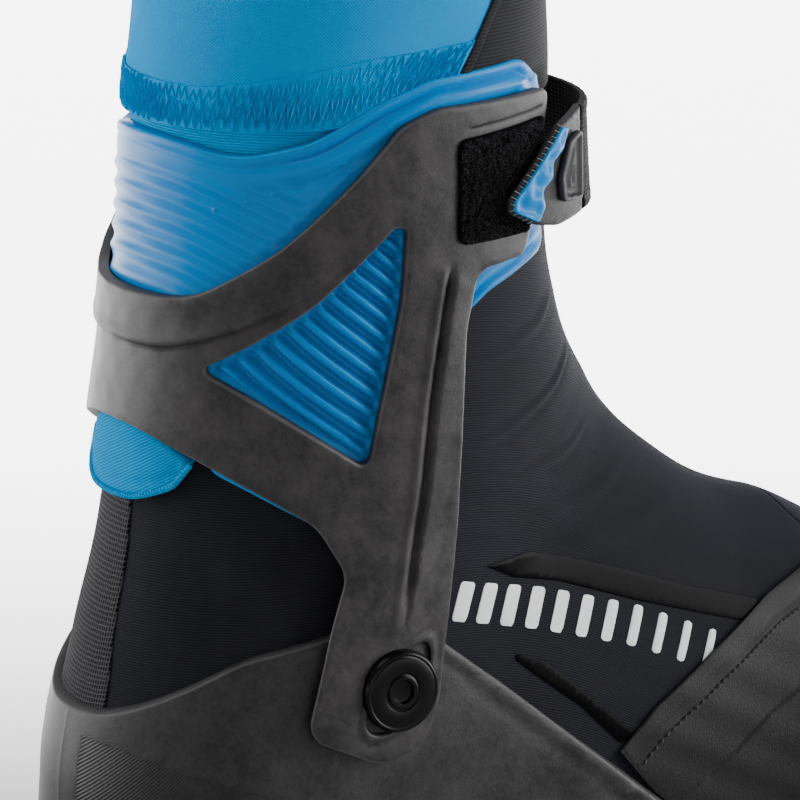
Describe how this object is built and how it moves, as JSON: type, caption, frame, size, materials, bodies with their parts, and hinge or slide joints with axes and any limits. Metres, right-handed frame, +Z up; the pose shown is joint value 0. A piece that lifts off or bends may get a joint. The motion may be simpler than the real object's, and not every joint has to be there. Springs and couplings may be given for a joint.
{
  "type": "cross country boot",
  "caption": "Cuffed cross country boot, right foot: ribbed fabric upper, moulded heel shell, hinged cuff frame over a corrugated inner cuff, knit gaiter, hook-and-loop strap, toe-bar sole.",
  "frame": {"origin": "on the floor plane under the middle of the boot", "axes": "+X to the toe, +Y to the medial side of this right boot, +Z up"},
  "size_m": [0.301, 0.1032, 0.245],
  "materials": {
    "sole_plastic": "moulded, fine grain",
    "outsole_rubber": "matt tread",
    "bar_steel": "ground bar",
    "shell_plastic": "satin moulded, hatched",
    "frame_plastic": "satin moulded, mottled",
    "cuff_plastic": "soft moulded, ribbed",
    "cap_plastic": "glossy",
    "post_steel": "turned",
    "bush_nylon": "natural nylon",
    "upper_fabric": "fine ribbed knit",
    "mesh_fabric": "open mesh",
    "wrap_synthetic": "satin synthetic, stitched",
    "toe_rubber": "matt rand",
    "gaiter_knit": "stretch knit",
    "collar_knit": "ribbed knit",
    "front_knit": "ribbed knit",
    "pad_knit": "ribbed knit, piped edge",
    "binding_tape": "woven tape",
    "loop_pile": "loop pile",
    "hook_plastic": "hook tape",
    "strap_webbing": "brushed webbing",
    "tab_rubber": "moulded, satin",
    "grip_rubber": "moulded grip",
    "badge_rubber": "raised frame",
    "zip_tape": "woven tape with moulded teeth",
    "zip_metal": "painted",
    "lining_fabric": "brushed lining",
    "insole_foam": "foam with fabric face",
    "board_fibre": "fibre board",
    "midsole_foam": "firm foam",
    "lace_cord": "braided"
  },
  "bodies": {
    "boot": {"sole_plate": "sole_plastic", "outsole_heel": "outsole_rubber", "outsole_forefoot": "outsole_rubber", "toe_insert": "sole_plastic", "toe_bar": "bar_steel", "heel_shell": "shell_plastic", "midsole": "midsole_foam", "toe_cap": "toe_rubber", "forefoot_wrap_lateral": "wrap_synthetic", "forefoot_wrap_medial": "wrap_synthetic", "pivot_post_lateral": "post_steel", "pivot_post_medial": "post_steel", "pivot_cap_lateral": "cap_plastic", "pivot_cap_medial": "cap_plastic", "upper_vamp": "upper_fabric", "upper_quarter_lateral": "upper_fabric", "upper_quarter_medial": "upper_fabric", "heel_mesh_strip": "mesh_fabric", "ankle_panel_lateral": "upper_fabric", "ankle_panel_medial": "upper_fabric", "zip_chain_foot": "zip_tape", "zip_chain_ankle": "zip_tape", "liner_foot": "lining_fabric", "liner_ankle": "lining_fabric", "insole": "insole_foam", "lasting_board": "board_fibre", "heel_counter": "sole_plastic", "tongue": "lining_fabric", "lace": "lace_cord", "lace_loops": "binding_tape", "lace_lock": "sole_plastic"},
    "cuff": {"cuff_frame": "frame_plastic", "cuff_inner": "cuff_plastic", "pivot_bush_lateral": "bush_nylon", "pivot_bush_medial": "bush_nylon", "achilles_pad": "pad_knit", "loop_patch": "loop_pile", "strap_band": "strap_webbing", "strap_rivet": "post_steel", "ribbed_collar": "collar_knit", "shaft_front": "front_knit", "liner_shaft_lateral": "lining_fabric", "liner_shaft_medial": "lining_fabric", "gaiter_rear": "gaiter_knit", "gaiter_front": "front_knit", "gaiter_hem": "collar_knit", "gaiter_binding": "binding_tape", "zip_chain_shaft": "zip_tape"},
    "strap_tab": {"strap_tab": "tab_rubber", "tab_grip": "grip_rubber", "tab_hook_patch": "hook_plastic", "tab_badge": "badge_rubber"},
    "zip_slider": {"zip_slider": "zip_metal"},
    "zip_pull": {"zip_pull": "zip_metal"}
  },
  "joints": [
    {"name": "cuff_flex", "type": "hinge", "parent": "boot", "child": "cuff", "pos_m": [-0.0877, 0, 0.078], "axis": [0, 1, 0], "range_deg": [-4, 18], "deforming": ["heel_mesh_strip", "ankle_panel_lateral", "ankle_panel_medial", "liner_ankle", "zip_chain_ankle"]},
    {"name": "strap_tab_peel", "type": "hinge", "parent": "cuff", "child": "strap_tab", "pos_m": [-0.0336, -0.03405, 0.19], "axis": [0, 0, 1], "range_deg": [0, 100]},
    {"name": "zip_slide", "type": "slide", "parent": "cuff", "child": "zip_slider", "axis": [0, 0, 1], "range_m": [-0.016, 0]},
    {"name": "zip_pull_flip", "type": "hinge", "parent": "zip_slider", "child": "zip_pull", "pos_m": [-0.03195, 0.018, 0.2358], "axis": [0.4199, -0.9076, 0], "range_deg": [0, 110]}
  ]
}
